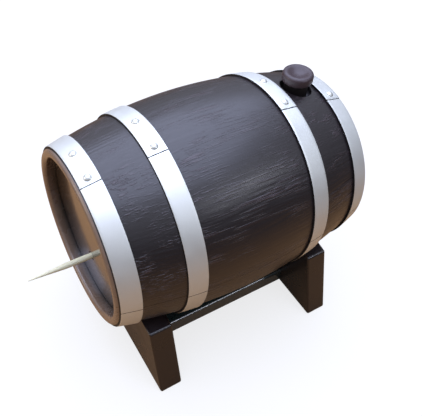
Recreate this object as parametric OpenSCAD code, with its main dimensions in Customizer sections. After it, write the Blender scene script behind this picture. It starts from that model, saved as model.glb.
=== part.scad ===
// Barrel-shaped toothpick holder on a two-board stand.
// A press knob at the rear of the lid drives a slide that pushes one pick out of the front head.
// The barrel's axis runs along Y and the front head faces -Y.

/* [Barrel] */
// Outer radius at the belly
belly_r = 35; // [33:0.5:40]
// Fall of the staves' outline from the belly to the two ends
stave_fall = 6.55; // [5:0.25:7.5]
// Length behind a pick for the finger, the plunger and the ramp
works_room = 15; // [14.5:0.25:18]
// Wall of the two shells
shell_wall = 2.2; // [1.6:0.1:2.6]
// Wall of the rim around each head
rim_wall = 2.85; // [2.5:0.05:3.2]
// Rounding of the rim's edges
rim_round = 1.2; // [0.8:0.1:1.2]
// Height of the barrel's belly above the table
stand_rise = 14; // [13:0.5:20]
// Depth of the parting plane below the axis
parting_drop = 2.5; // [2:0.1:3]
// Gap between the two shells at the parting plane
parting_gap = 0.1; // [0.05:0.05:0.2]
// Wall of the lip that lines up the two shells
lip_wall = 1.2; // [0.8:0.1:1.5]
// Height of that lip above the parting plane
lip_rise = 2; // [1:0.25:2.5]

/* [Heads] */
// Depth of each head's outer face inside the rim
head_recess = 4; // [3:0.25:4.5]
// Thickness of the heads
head_thick = 2; // [1.6:0.1:2.2]
// Depth of the groove that holds each head
head_groove = 1; // [0.8:0.05:1.1]
// Clearance of a head in its groove
head_clear = 0.3; // [0.2:0.05:0.4]
// Radius of the hole that the pick comes out of
pick_hole_r = 1.6; // [1.3:0.05:2]

/* [Hoops] */
// Width of the four hoops
hoop_w = 6.2; // [5:0.1:7]
// Thickness of the hoops
hoop_thick = 0.7; // [0.4:0.05:1]
// Distance of the end hoops from the rims
hoop_inset = 1; // [0.8:0.1:1.5]
// Distance of the inner hoops' middles from the rims
quarter_inset = 23.6; // [23:0.2:26]
// Radius of a rivet's dome
rivet_r = 1.1; // [0.8:0.05:1.3]
// Height of a rivet's dome
rivet_h = 0.5; // [0.3:0.05:0.6]
// Width of the line where a hoop's ends overlap
lap_line_w = 0.3; // [0.2:0.05:0.4]
// Depth of that line
lap_line_deep = 0.35; // [0.2:0.05:0.35]

/* [Knob] */
// Radius of the knob's cap
cap_r = 5; // [4.6:0.1:5.2]
// Height of the knob's cap
cap_h = 3.1; // [2.5:0.1:3.5]
// Rounding of the cap's edges
cap_round = 0.7; // [0.4:0.1:0.9]
// Radius of the dish in the cap's top
dish_r = 3.9; // [3:0.1:4.1]
// Depth of that dish
dish_deep = 0.9; // [0.5:0.1:1.2]
// Height of the cap's top above the staves
cap_rise = 5.7; // [5.5:0.1:6.5]
// Radius of the knob's neck
neck_r = 3.9; // [3.5:0.1:4]
// Travel of the knob
knob_travel = 5.4; // [4.5:0.1:5.6]
// Clearance of the neck in its guide
neck_fit = 0.08; // [0.04:0.01:0.1]
// Clearance of the cap in its pocket
pocket_clear = 0.7; // [0.5:0.05:0.8]

/* [Toothpick] */
// Length of a pick
pick_len = 65; // [63:0.5:65]
// Radius of a pick
pick_r = 1; // [0.8:0.05:1.1]
// Height of the pick's axis above the lowest point of the front opening
pick_rise = 15.45; // [15:0.25:16]
// Reach of the pick's tip in front of the rim
pick_out = 17; // [10:0.5:20]
// Length of the taper at a pick's ends
pick_taper = 10; // [6:0.5:12]

/* [Trough] */
// Clearance of the hopper's flanges inside the rim
flange_clear = 1.15; // [0.5:0.05:3]
// Height of the hopper's top above the barrel's axis
hopper_top = 1; // [0.5:0.25:2]
// Wall of the trough
trough_wall = 1.6; // [1.4:0.1:1.8]
// Clearance of a pick in the groove
groove_clear = 0.25; // [0.15:0.05:0.3]
// Distance of the trough's screws from the belly
trough_screw_y = 15; // [12:0.5:18]
// Clearance of the trough's ears inside the lip
ear_clear = 1.2; // [1:0.1:1.4]

/* [Slide] */
// Forward travel of the slide for each unit of knob travel
slide_ratio = 1.75; // [1.5:0.05:1.75]
// Half width of the slide
slide_half = 3; // [2.5:0.1:3.2]
// Height of the slide's bar
bar_h = 4.4; // [4.2:0.1:5]
// Clearance around the slide
slide_clear = 0.2; // [0.1:0.05:0.3]
// Place of the bar's front end, counted from the belly towards the rear
bar_front = -6; // [-8:0.5:-4]
// Half width of the finger that pushes the pick
finger_half = 0.7; // [0.5:0.05:0.8]
// Thickness of that finger
finger_thick = 1.8; // [1.4:0.1:2]

/* [Spring] */
// Radius of the spring's coil, at the middle of its wire
coil_r = 1.75; // [1.5:0.05:1.8]
// Radius of its wire
wire_r = 0.3; // [0.2:0.05:0.35]
// Number of turns
coil_turns = 9; // [6:1:11]
// Length of the spring at rest
spring_len = 18.2; // [17:0.2:20]

/* [Stand] */
// Distance of the boards' middles from the rims
board_inset = 14.1; // [13:0.1:15]
// Thickness of the two boards
board_thick = 8.1; // [7:0.1:8.4]
// Half width of a board at the table
foot_half = 36.7; // [36:0.25:40]
// Angle of a board's horns round the barrel, from its lowest point
horn_angle = 47; // [42:1:55]
// Wall of a horn beside the barrel
horn_wall = 0.55; // [0.4:0.05:1]
// Width of a board's shoulder outside its horn
shoulder_w = 5.2; // [3:0.1:6]
// Fall of the shoulder
shoulder_fall = 0.7; // [0.2:0.1:1.5]
// Clearance of the barrel in its saddles
saddle_clear = 0.1; // [0.05:0.05:0.2]
// Half width of the plate between the boards
plate_half = 18; // [16:0.5:22]
// Height of the plate
plate_h = 5.6; // [5:0.1:7]
// Height of the plate's underside above the table
plate_lift = 0.7; // [0.5:0.1:1.5]
// Wall of the plate
plate_wall = 2; // [1.6:0.1:2.4]
// Rounding of the plate's upper edges
plate_round = 1.2; // [0.8:0.1:1.5]

/* [Hidden] */

// Facets of a full turn, of the long stave arc and of small rounds
turn_facets = 120;
arc_facets = 720;
small_facets = 48;
// Overrun of every cut, and the gap between pieces that only touch
overrun = 0.5;
seat = 0.05;

// Barrel: an arc of large radius swept round the axis, long enough for a pick and the works
barrel_len = pick_len + works_room + 2 * (head_recess + head_thick);
half_len = barrel_len / 2;
axis_h = belly_r + stand_rise;
arc_r = (half_len ^ 2 + stave_fall ^ 2) / (2 * stave_fall);
parting_z = -parting_drop;
lip_clear = 0.3;
reach = 2 * barrel_len;
function stave_r(y) = belly_r - arc_r + sqrt(arc_r ^ 2 - y ^ 2);
rim_y = half_len - rim_round;
rim_out = stave_r(rim_y);
bore_r = rim_out - rim_wall;

// Heads
head_out_y = half_len - head_recess;
head_in_y = head_out_y - head_thick;
croze_wall = 1.6;
croze_y = head_in_y - croze_wall;
head_r = bore_r + head_groove - head_clear;

// Hoops, rivets and the angles of what lies on a hoop, from the top towards +X
end_hoop_y = half_len - hoop_inset - hoop_w / 2;
quarter_y = half_len - quarter_inset;
hoop_ys = [-end_hoop_y, -quarter_y, quarter_y, end_hoop_y];
rivet_angles = [-7.8, 11.5];
lap_angle = 15.5;
rivet_pin_r = 0.5;
rivet_pin_deep = 0.9;

// Knob, midway between the two rear hoops, and its pocket in the upper shell
knob_y = (quarter_y + end_hoop_y) / 2;
cap_top = stave_r(knob_y) + cap_rise;
cap_low = cap_top - cap_h;
pocket_r = cap_r + pocket_clear;
pocket_wall = 1.6;
pocket_floor = cap_low - knob_travel - slide_clear;
guide_h = 2.2;
guide_low = pocket_floor - guide_h;
stop_half = 6.6;
stop_deep = 3.2;
stop_h = 1.7;
stop_top = guide_low - seat;
spigot_r = 2.2;
spigot_h = 3.5;

// Pick
pick_drop = bore_r - pick_rise;
tip_share = 0.2;
tip_r = pick_r * tip_share;

// Trough
groove_half = pick_r + groove_clear;
groove_low = -pick_drop - pick_r - slide_clear / 2;
groove_top = -pick_drop + pick_r;
trough_front = -head_in_y + head_clear;
rear_wall_y = trough_front + pick_len + finger_thick / 2;
trough_back = rear_wall_y + trough_wall;
slope_share = 1.1;
slope_wall = trough_wall * slope_share;
flange_out = trough_wall;
hopper_half = bore_r - flange_clear - flange_out;
ear_half = 3;
ear_out = 2.4;
trough_screw_x = stave_r(trough_screw_y) - shell_wall - lip_clear - lip_wall - ear_clear - ear_out;
post_r = 2.3;
screw_r = 1.1;
screw_head_r = 2;
screw_head_h = 1.3;
screw_fit = 0.05;
trough_screw_len = 7;

// Slide, rails and keeper under the trough
slide_travel = knob_travel * slide_ratio;
bar_top = groove_low - trough_wall - slide_clear;
bar_low = bar_top - bar_h;
rail_x = slide_half + slide_clear;
rail_low = bar_low - slide_clear;
rail_back = rear_wall_y - trough_wall;
finger_y = rear_wall_y - slide_clear;
finger_top = -pick_drop + finger_half;
blade_front = trough_back + slide_clear * 2;
blade_deep = 4;
blade_half = 2.2;
slide_back = head_in_y - head_clear;
ramp_front = blade_front - slide_clear / 2;
ramp_low = bar_top - (slide_back - ramp_front) / slide_ratio;
block_low = ramp_low - trough_wall;
block_front = rail_back - finger_thick * 2;
spring_z = (bar_top + bar_low) / 2;
spring_front = bar_front - seat - spring_len;
anchor_y = spring_front - seat;
keeper_screw_inset = 5.8;
keeper_screw_x = 6.6;
keeper_boss_r = 1.9;
keeper_pin_r = 0.8;
keeper_head_r = 1.5;
keeper_head_h = 0.9;
keeper_half = keeper_screw_x + keeper_boss_r;
keeper_back = block_front - slide_travel - finger_thick;
keeper_low = rail_low - trough_wall;
keeper_screw_ys = [anchor_y + keeper_screw_inset, keeper_back - keeper_screw_inset];

// Stand
board_y = half_len - board_inset;
horn_r = stave_r(board_y) + horn_wall;
horn_half = horn_r * sin(horn_angle);
horn_drop = horn_r * cos(horn_angle);
board_in_y = board_y - board_thick / 2;
stand_screw_x = 9;
stand_screw_r = 1.3;
stand_head_r = 2.5;
stand_head_h = 1.8;
stand_head_deep = 8;
stand_boss_r = 3.4;
stand_boss_h = 9.45;
stand_pin_h = 7.85;
stand_boss_top = stave_r(board_y) - stand_boss_h;
stand_pin_top = stave_r(board_y) - stand_pin_h;
tenon_half = 5;
tenon_h = 2.4;
tenon_deep = 3;
slot_w = 0.6;
slot_share = 0.6;

// The origin is on the table, under the middle of the part's length
barrel_y = pick_out / 2;

module in_barrel_frame() translate([0, barrel_y, axis_h]) children();

module revolved() rotate([-90, 0, 0]) rotate_extrude($fn = turn_facets) children();

module along_y(from, to) translate([0, to, 0]) rotate([90, 0, 0]) linear_extrude(to - from) children();

module block(low, high) translate(low) cube(high - low);

module arc_disc(grow) translate([belly_r - arc_r, 0]) circle(r = arc_r + grow, $fn = arc_facets);

module band(low, high) translate([0, low]) square([reach, high - low]);

module barrel_solid(grow, half) revolved() intersection() {
    arc_disc(grow);
    band(-half, half);
}

module above_parting() block([-reach, -reach, parting_z + parting_gap / 2], [reach, reach, reach]);

module below_parting() block([-reach, -reach, -reach], [reach, reach, parting_z - parting_gap / 2]);

// Half section of the two shells together, with rims, croze lips and head grooves
module shell_section() difference() {
    union() {
        intersection() {
            arc_disc(0);
            band(-rim_y, rim_y);
        }
        for (side = [-1, 1]) {
            translate([rim_out - rim_round, side * rim_y]) circle(r = rim_round, $fn = small_facets);
            translate([bore_r + rim_round, side * rim_y]) circle(r = rim_round, $fn = small_facets);
            translate([bore_r + rim_round, side * rim_y - rim_round])
                square([rim_out - bore_r - 2 * rim_round, 2 * rim_round]);
        }
    }
    intersection() {
        arc_disc(-shell_wall);
        band(-croze_y, croze_y);
    }
    translate([-overrun, -reach]) square([bore_r + overrun, 2 * reach]);
    for (side = [-1, 1])
        translate([0, side * (head_in_y + head_out_y) / 2 - head_thick / 2 - seat])
            square([bore_r + head_groove, head_thick + 2 * seat]);
}

module on_hoop(y, angle) rotate([0, angle, 0]) translate([0, y, stave_r(y)])
    rotate([-asin(y / arc_r), 0, 0]) children();

module rivet_holes() for (y = hoop_ys, angle = rivet_angles) on_hoop(y, angle)
    translate([0, 0, -rivet_pin_deep - seat])
        cylinder(r = rivet_pin_r + seat, h = rivet_pin_deep + hoop_thick + overrun, $fn = small_facets);

module at_posts() for (x = [-1, 1], y = [-1, 1])
    translate([x * trough_screw_x, y * trough_screw_y, 0]) children();

module at_stand_screws() for (x = [-1, 1], y = [-1, 1])
    translate([x * stand_screw_x, y * board_y, 0]) children();

module at_keeper_screws() for (x = [-1, 1], y = keeper_screw_ys)
    translate([x * keeper_screw_x, y, 0]) children();

// Screw that points up, with its head's upper face at height 0
module screw(pin_r, pin_len, head_r, head_h) difference() {
    union() {
        cylinder(r = pin_r, h = pin_len, $fn = small_facets);
        translate([0, 0, -head_h]) cylinder(r = head_r, h = head_h, $fn = small_facets);
    }
    for (turn = [0, 90]) rotate([0, 0, turn]) block(
        [-head_r * slot_share, -slot_w / 2, -head_h - overrun],
        [head_r * slot_share, slot_w / 2, -head_h / 2]);
}

// Lip inside the lower shell that lines up the upper one
module register_lip() intersection() {
    difference() {
        barrel_solid(-shell_wall - lip_clear, croze_y - lip_wall);
        barrel_solid(-shell_wall - lip_clear - lip_wall, half_len);
    }
    block([-reach, -reach, parting_z - 2 * lip_rise], [reach, reach, parting_z + lip_rise]);
}

module lower_shell() color("#2f2422") in_barrel_frame() difference() {
    union() {
        intersection() {
            revolved() shell_section();
            below_parting();
        }
        register_lip();
        intersection() {
            difference() {
                barrel_solid(-shell_wall / 2, croze_y - lip_wall);
                barrel_solid(-shell_wall - 2 * lip_clear, half_len);
            }
            block([-reach, -reach, parting_z - 2 * lip_rise],
                [reach, reach, parting_z - parting_gap / 2]);
        }
        intersection() {
            barrel_solid(-shell_wall / 2, croze_y);
            union() {
                at_posts() translate([0, 0, -belly_r])
                    cylinder(r = post_r, h = belly_r + hopper_top - trough_wall - seat,
                        $fn = small_facets);
                at_stand_screws() translate([0, 0, -belly_r])
                    cylinder(r = stand_boss_r, h = belly_r - stand_boss_top, $fn = small_facets);
            }
        }
    }
    at_posts() translate([0, 0, hopper_top - trough_wall - trough_screw_len])
        cylinder(r = screw_r + screw_fit, h = trough_screw_len + overrun, $fn = small_facets);
    at_stand_screws() translate([0, 0, -belly_r])
        cylinder(r = stand_screw_r + screw_fit, h = belly_r - stand_pin_top + overrun,
            $fn = small_facets);
}

module upper_shell() color("#332a2b") in_barrel_frame() difference() {
    union() {
        intersection() {
            revolved() shell_section();
            above_parting();
        }
        intersection() {
            barrel_solid(-shell_wall / 2, head_in_y - seat);
            translate([0, knob_y, guide_low])
                cylinder(r = pocket_r + pocket_wall, h = belly_r, $fn = turn_facets);
        }
    }
    translate([0, knob_y, pocket_floor]) cylinder(r = pocket_r, h = belly_r, $fn = turn_facets);
    translate([0, knob_y, guide_low - overrun])
        cylinder(r = neck_r + neck_fit, h = belly_r, $fn = turn_facets);
    rivet_holes();
}

module head_disc() rotate([-90, 0, 0])
    translate([0, 0, -head_thick / 2]) cylinder(r = head_r, h = head_thick, $fn = turn_facets);

module front_head() color("#241c1a") in_barrel_frame() difference() {
    translate([0, -(head_in_y + head_out_y) / 2, 0]) head_disc();
    translate([0, -head_in_y + overrun, -pick_drop]) rotate([90, 0, 0])
        cylinder(r = pick_hole_r, h = head_thick + 2 * overrun, $fn = small_facets);
}

module rear_head() color("#241c1a") in_barrel_frame()
    translate([0, (head_in_y + head_out_y) / 2, 0]) head_disc();

module hoop_ring(y) revolved() difference() {
    intersection() {
        arc_disc(hoop_thick + seat);
        band(y - hoop_w / 2, y + hoop_w / 2);
    }
    arc_disc(seat);
}

module hoop_upper(y) color("#c3ccd2") in_barrel_frame() difference() {
    intersection() {
        hoop_ring(y);
        above_parting();
    }
    rivet_holes();
    on_hoop(y, lap_angle)
        block([-lap_line_w / 2, -hoop_w, hoop_thick + seat - lap_line_deep],
            [lap_line_w / 2, hoop_w, hoop_thick + overrun]);
}

module hoop_lower(y) color("#a9b0b5") in_barrel_frame() intersection() {
    hoop_ring(y);
    below_parting();
}

module front_end_hoop_upper() hoop_upper(-end_hoop_y);
module front_end_hoop_lower() hoop_lower(-end_hoop_y);
module front_quarter_hoop_upper() hoop_upper(-quarter_y);
module front_quarter_hoop_lower() hoop_lower(-quarter_y);
module rear_quarter_hoop_upper() hoop_upper(quarter_y);
module rear_quarter_hoop_lower() hoop_lower(quarter_y);
module rear_end_hoop_upper() hoop_upper(end_hoop_y);
module rear_end_hoop_lower() hoop_lower(end_hoop_y);

module rivet() {
    dome_r = (rivet_r ^ 2 + rivet_h ^ 2) / (2 * rivet_h);
    translate([0, 0, -rivet_pin_deep])
        cylinder(r = rivet_pin_r, h = rivet_pin_deep + hoop_thick + 3 * seat, $fn = small_facets);
    translate([0, 0, hoop_thick + 2 * seat]) intersection() {
        translate([0, 0, rivet_h - dome_r]) sphere(r = dome_r, $fn = small_facets);
        cylinder(r = rivet_r, h = rivet_h, $fn = small_facets);
    }
}

module hoop_rivets() color("#d5dce0") in_barrel_frame()
    for (y = hoop_ys, angle = rivet_angles) on_hoop(y, angle) rivet();

// Knob: dished cap, neck and the socket for the plunger's spigot
module push_knob() color("#4f4247") in_barrel_frame() translate([0, knob_y, 0]) difference() {
    rotate_extrude($fn = turn_facets) union() {
        translate([0, cap_low]) square([cap_r - cap_round, cap_h]);
        translate([0, cap_low + cap_round]) square([cap_r, cap_h - 2 * cap_round]);
        for (z = [cap_low + cap_round, cap_top - cap_round])
            translate([cap_r - cap_round, z]) circle(r = cap_round, $fn = small_facets);
        translate([0, stop_top + seat]) square([neck_r, cap_low - stop_top]);
    }
    dish_ball = (dish_r ^ 2 + dish_deep ^ 2) / (2 * dish_deep);
    translate([0, 0, cap_top - dish_deep + dish_ball]) sphere(r = dish_ball, $fn = turn_facets);
    translate([0, 0, stop_top - overrun])
        cylinder(r = spigot_r + screw_fit, h = spigot_h + 2 * overrun, $fn = small_facets);
}

// Plunger: spigot, stop bar and a blade whose foot has the ramp's slope
module plunger() color("#6b6466") in_barrel_frame() {
    foot_y = blade_front + blade_deep;
    translate([0, knob_y, stop_top - overrun])
        cylinder(r = spigot_r, h = spigot_h + overrun, $fn = small_facets);
    block([-stop_half, blade_front, stop_top - stop_h], [stop_half, knob_y + stop_deep, stop_top]);
    rotate([90, 0, 90]) translate([0, 0, -blade_half]) linear_extrude(2 * blade_half)
        polygon([[blade_front, stop_top - stop_h / 2], [foot_y, stop_top - stop_h / 2],
            [foot_y, ramp_z(foot_y)], [blade_front, ramp_z(blade_front)]]);
}
// Height of the plunger's foot at a place along Y, just above the slide's ramp
function ramp_z(y) = bar_top + seat - (y - ramp_front) / slide_ratio;

// Right half of the trough's section, down the inside and back along the underside
trough_inside = [[hopper_half + flange_out, hopper_top], [hopper_half, hopper_top],
    [groove_half, groove_top], [groove_half, groove_low]];
trough_outside = [[groove_half + trough_wall, groove_low - trough_wall],
    [groove_half + trough_wall, groove_top - slope_wall], [hopper_half, hopper_top - slope_wall],
    [hopper_half + flange_out, hopper_top - trough_wall]];
function across(points) = [for (i = [len(points) - 1:-1:0]) [-points[i][0], points[i][1]]];

module pick_trough() color("#8d8a86") in_barrel_frame() difference() {
    union() {
        along_y(trough_front, trough_back)
            polygon(concat(trough_inside, across(trough_inside), across(trough_outside),
                trough_outside));
        along_y(rear_wall_y, trough_back)
            polygon(concat([for (p = trough_inside) if (p[0] <= hopper_half) p],
                across([for (p = trough_inside) if (p[0] <= hopper_half) p])));
        for (side = [0, 1], y = [-1, 1]) mirror([side, 0, 0]) translate([0, y * trough_screw_y, 0])
            block([hopper_half, -ear_half, hopper_top - trough_wall],
                [trough_screw_x + ear_out, ear_half, hopper_top]);
        for (side = [-1, 1]) translate([side * (rail_x + trough_wall / 2), 0, 0])
            block([-trough_wall / 2, anchor_y - trough_wall, rail_low],
                [trough_wall / 2, rail_back, groove_low - trough_wall / 2]);
        block([-rail_x - overrun, anchor_y - trough_wall, rail_low],
            [rail_x + overrun, anchor_y, groove_low - trough_wall / 2]);
        at_keeper_screws() translate([0, 0, rail_low])
            cylinder(r = keeper_boss_r, h = boss_top - rail_low, $fn = small_facets);
    }
    block([-finger_half - slide_clear, finger_y - slide_travel - slide_clear * 2, -reach],
        [finger_half + slide_clear, trough_back + overrun, finger_top + slide_clear]);
    at_posts() translate([0, 0, hopper_top - trough_wall - overrun])
        cylinder(r = screw_r + screw_fit, h = trough_wall + 2 * overrun, $fn = small_facets);
    at_keeper_screws() translate([0, 0, rail_low - overrun])
        cylinder(r = keeper_pin_r + screw_fit, h = keeper_boss_r * 3, $fn = small_facets);
}
// Height at which the keeper's bosses end inside the sloping wall
boss_top = groove_top + (keeper_screw_x - groove_half - keeper_boss_r)
    * (hopper_top - groove_top) / (hopper_half - groove_half) - trough_wall / 2;

module trough_screws() color("#b9bdc0") in_barrel_frame() at_posts()
    translate([0, 0, hopper_top + seat]) mirror([0, 0, 1])
        screw(screw_r, trough_screw_len - seat, screw_head_r, screw_head_h);

module pick_slide() color("#b0aaa2") in_barrel_frame() {
    rotate([90, 0, 90]) translate([0, 0, -slide_half]) linear_extrude(2 * slide_half)
        polygon([[bar_front, bar_low], [bar_front, bar_top], [ramp_front, bar_top],
            [slide_back, ramp_low], [slide_back, block_low], [block_front, block_low],
            [block_front, bar_low]]);
    block([-finger_half, finger_y, bar_top - overrun],
        [finger_half, finger_y + finger_thick, finger_top]);
}

// Helix as one closed tube; each ring holds the radial and the axial direction
coil_steps = 16;
wire_sides = 6;
ring_count = coil_turns * coil_steps + 1;
function ring_point(i, j) = let (turn = 360 * i / coil_steps, side = 360 * j / wire_sides,
    r = coil_r + wire_r * cos(side),
    y = wire_r + (spring_len - 2 * wire_r) * i / (ring_count - 1) + wire_r * sin(side))
    [r * sin(turn), spring_front + y, spring_z + r * cos(turn)];
module slide_spring() color("#c9cdd0") in_barrel_frame() polyhedron(
    points = [for (i = [0:ring_count - 1], j = [0:wire_sides - 1]) ring_point(i, j)],
    faces = concat(
        [[for (j = [0:wire_sides - 1]) j]],
        [for (i = [0:ring_count - 2], j = [0:wire_sides - 1], half = [0, 1])
            let (a = i * wire_sides + j, b = i * wire_sides + (j + 1) % wire_sides)
            half == 0 ? [a, a + wire_sides, b] : [b, a + wire_sides, b + wire_sides]],
        [[for (j = [wire_sides - 1:-1:0]) (ring_count - 1) * wire_sides + j]]));
// Least gap between neighbouring turns, measured on the helix's points
echo(least_coil_gap = min([for (i = [0:ring_count - 1 - coil_steps], j = [0:wire_sides - 1],
    k = [0:wire_sides - 1]) norm(ring_point(i, j) - ring_point(i + coil_steps, k))]));

module slide_keeper() color("#9a9793") in_barrel_frame() difference() {
    block([-keeper_half, anchor_y - trough_wall, keeper_low],
        [keeper_half, keeper_back, rail_low - seat]);
    at_keeper_screws() translate([0, 0, keeper_low - overrun])
        cylinder(r = keeper_pin_r + screw_fit, h = trough_wall + 2 * overrun, $fn = small_facets);
}

module keeper_screws() color("#b9bdc0") in_barrel_frame() at_keeper_screws()
    translate([0, 0, keeper_low - seat])
        screw(keeper_pin_r, trough_wall + keeper_boss_r * 2, keeper_head_r, keeper_head_h);

module toothpick() color("#e9e2c0") in_barrel_frame()
    translate([0, -half_len - pick_out, -pick_drop]) revolved()
        polygon([[0, 0], [tip_r, 0], [pick_r, pick_taper], [pick_r, pick_len - pick_taper],
            [tip_r, pick_len], [0, pick_len]]);

module board(side) color("#3a2a28") in_barrel_frame() difference() {
    along_y(side * board_y - board_thick / 2, side * board_y + board_thick / 2)
        polygon([[-foot_half, -axis_h], [foot_half, -axis_h],
            [horn_half + shoulder_w, -horn_drop - shoulder_fall], [horn_half, -horn_drop],
            [-horn_half, -horn_drop], [-horn_half - shoulder_w, -horn_drop - shoulder_fall]]);
    barrel_solid(saddle_clear, half_len);
    at_stand_screws() {
        translate([0, 0, -axis_h - overrun])
            cylinder(r = stand_head_r + saddle_clear, h = stand_head_deep + overrun,
                $fn = small_facets);
        translate([0, 0, -axis_h])
            cylinder(r = stand_screw_r + saddle_clear, h = axis_h, $fn = small_facets);
    }
    tenons(saddle_clear);
}
module front_board() board(-1);
module rear_board() board(1);

tenon_z = -axis_h + plate_lift + plate_h - plate_round - tenon_h / 2;
module tenons(grow) block(
    [-tenon_half - grow, -board_in_y - tenon_deep - grow, tenon_z - tenon_h / 2 - grow],
    [tenon_half + grow, board_in_y + tenon_deep + grow, tenon_z + tenon_h / 2 + grow]);

// Plate between the boards: an upside-down tray with rounded upper edges
module stand_plate() color("#15191a") in_barrel_frame() {
    low = -axis_h + plate_lift;
    high = low + plate_h;
    along_y(-board_in_y + seat, board_in_y - seat) difference() {
        union() {
            translate([-plate_half, low]) square([2 * plate_half, plate_h - plate_round]);
            translate([-plate_half + plate_round, low])
                square([2 * (plate_half - plate_round), plate_h]);
            for (side = [-1, 1]) translate([side * (plate_half - plate_round), high - plate_round])
                circle(r = plate_round, $fn = small_facets);
        }
        translate([-plate_half + plate_wall, low - overrun])
            square([2 * (plate_half - plate_wall), plate_h - plate_wall + overrun]);
    }
    tenons(0);
}

module stand_screws() color("#b9bdc0") in_barrel_frame() at_stand_screws()
    translate([0, 0, -axis_h + stand_head_deep - seat])
        screw(stand_screw_r, axis_h - stand_head_deep - stand_pin_top, stand_head_r, stand_head_h);

lower_shell();
upper_shell();
front_head();
rear_head();
front_end_hoop_upper();
front_end_hoop_lower();
front_quarter_hoop_upper();
front_quarter_hoop_lower();
rear_quarter_hoop_upper();
rear_quarter_hoop_lower();
rear_end_hoop_upper();
rear_end_hoop_lower();
hoop_rivets();
push_knob();
plunger();
pick_trough();
trough_screws();
pick_slide();
slide_spring();
slide_keeper();
keeper_screws();
toothpick();
front_board();
rear_board();
stand_plate();
stand_screws();
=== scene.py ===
import math

import bmesh
import bpy
from bpy.props import FloatProperty, FloatVectorProperty, PointerProperty
from bpy.types import Operator, Panel, PropertyGroup
from mathutils import Matrix, Vector, noise


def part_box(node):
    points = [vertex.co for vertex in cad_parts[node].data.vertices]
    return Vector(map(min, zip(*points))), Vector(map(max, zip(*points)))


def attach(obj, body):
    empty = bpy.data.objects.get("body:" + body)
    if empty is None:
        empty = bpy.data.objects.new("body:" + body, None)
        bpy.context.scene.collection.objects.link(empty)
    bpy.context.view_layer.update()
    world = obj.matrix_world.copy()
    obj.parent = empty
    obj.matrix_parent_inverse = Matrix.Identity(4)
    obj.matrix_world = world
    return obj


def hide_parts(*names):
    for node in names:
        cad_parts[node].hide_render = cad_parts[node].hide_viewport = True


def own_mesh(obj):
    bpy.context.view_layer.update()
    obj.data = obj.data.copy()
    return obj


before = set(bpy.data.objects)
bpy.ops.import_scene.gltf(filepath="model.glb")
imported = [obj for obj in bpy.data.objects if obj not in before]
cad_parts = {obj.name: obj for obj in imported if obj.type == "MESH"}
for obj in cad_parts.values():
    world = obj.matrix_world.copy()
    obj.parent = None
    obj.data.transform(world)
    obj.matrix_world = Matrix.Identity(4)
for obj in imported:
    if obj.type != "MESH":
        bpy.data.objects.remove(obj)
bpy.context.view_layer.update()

bl_info = {
    "name": "Barrel Toothpick Holder",
    "version": (1, 0, 0),
    "blender": (4, 5, 0),
    "location": "View3D > Sidebar > Toothpick Holder",
    "description": "Dresses a barrel-shaped toothpick holder with its surfaces, finishes and stage",
    "category": "Add Mesh",
}

MM = 0.001
# Rise of the stave skins and of the hoops over the shells
SKIN_LIFT = 0.02 * MM
HOOP_LIFT = 0.05 * MM
# Two measures closer than this are the same
NEAR = 0.01 * MM
# Values between which nearly all of a noise texture lies
NOISE_LOW, NOISE_HIGH = 0.3, 0.7


def linear(hex_code):
    """Linear red, green and blue of an sRGB hex colour."""
    channels = [int(hex_code[i:i + 2], 16) / 255 for i in (1, 3, 5)]
    return [c / 12.92 if c <= 0.04045 else ((c + 0.055) / 1.055) ** 2.4 for c in channels]


# The barrel, read from its parts in model.glb: its axis, its middle, its belly and its length
HEAD_LOW, HEAD_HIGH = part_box("front_head")
SHELL_LOW, SHELL_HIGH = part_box("upper_shell")
AXIS = Vector((0, (SHELL_LOW.y + SHELL_HIGH.y) / 2, (HEAD_LOW.z + HEAD_HIGH.z) / 2))
BELLY_RADIUS = SHELL_HIGH.z - AXIS.z
HALF_LENGTH = (SHELL_HIGH.y - SHELL_LOW.y) / 2
PARTING_Z = SHELL_LOW.z
HEAD_FACE = AXIS.y - HEAD_LOW.y


def size(name, text, default):
    """A length in the panel."""
    return FloatProperty(name=name, description=text, default=default, unit="LENGTH", precision=5)


def colour(name, text, default):
    """A colour in the panel, from its sRGB hex value."""
    return FloatVectorProperty(name=name, description=text, default=linear(default), size=3,
                               subtype="COLOR", min=0, max=1)


class HolderSizes(PropertyGroup):
    """Sizes of the visual pieces"""
    stave_fall: size("Stave fall", "Fall of the staves' outline from belly to ends", 6.55 * MM)
    rim_wall: size("Rim wall", "Wall of the rim around each head", 2.85 * MM)
    rim_round: size("Rim rounding", "Rounding of the rim's edges", 1.2 * MM)
    pocket_clear: size("Pocket clearance", "Clearance of the knob's cap in its pocket", 0.35 * MM)
    relief: size("Grain relief", "Height of the moulded wood grain", 0.12 * MM)
    grain_width: size("Grain width", "Distance between two moulded grain lines", 1.1 * MM)
    grain_length: size("Grain length", "Length over which a grain line changes", 26 * MM)
    hoop_width: size("Hoop width", "Width of the hoops", 6.2 * MM)
    hoop_thickness: size("Hoop thickness", "Thickness of the hoops", 0.7 * MM)
    hoop_edge: size("Hoop edge", "Rounding of the hoops' edges", 0.16 * MM)
    hoop_gap: size("Hoop gap", "Gap where the parting plane cuts a hoop", 0.26 * MM)
    lap_rise: size("Lap rise", "Height of a hoop's end above the end beside it", 0.14 * MM)
    lap_gap: size("Lap gap", "Width of the line at a hoop's end", 0.3 * MM)
    rivet_radius: size("Rivet radius", "Radius of a rivet's dome", 1.25 * MM)
    rivet_height: size("Rivet height", "Height of a rivet's dome", 0.75 * MM)
    plate_edge: size("Plate edge", "Chamfer of the plate's upper edges", 0.9 * MM)
    board_edge: size("Board edge", "Rounding of the stand boards' edges", 0.7 * MM)


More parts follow.
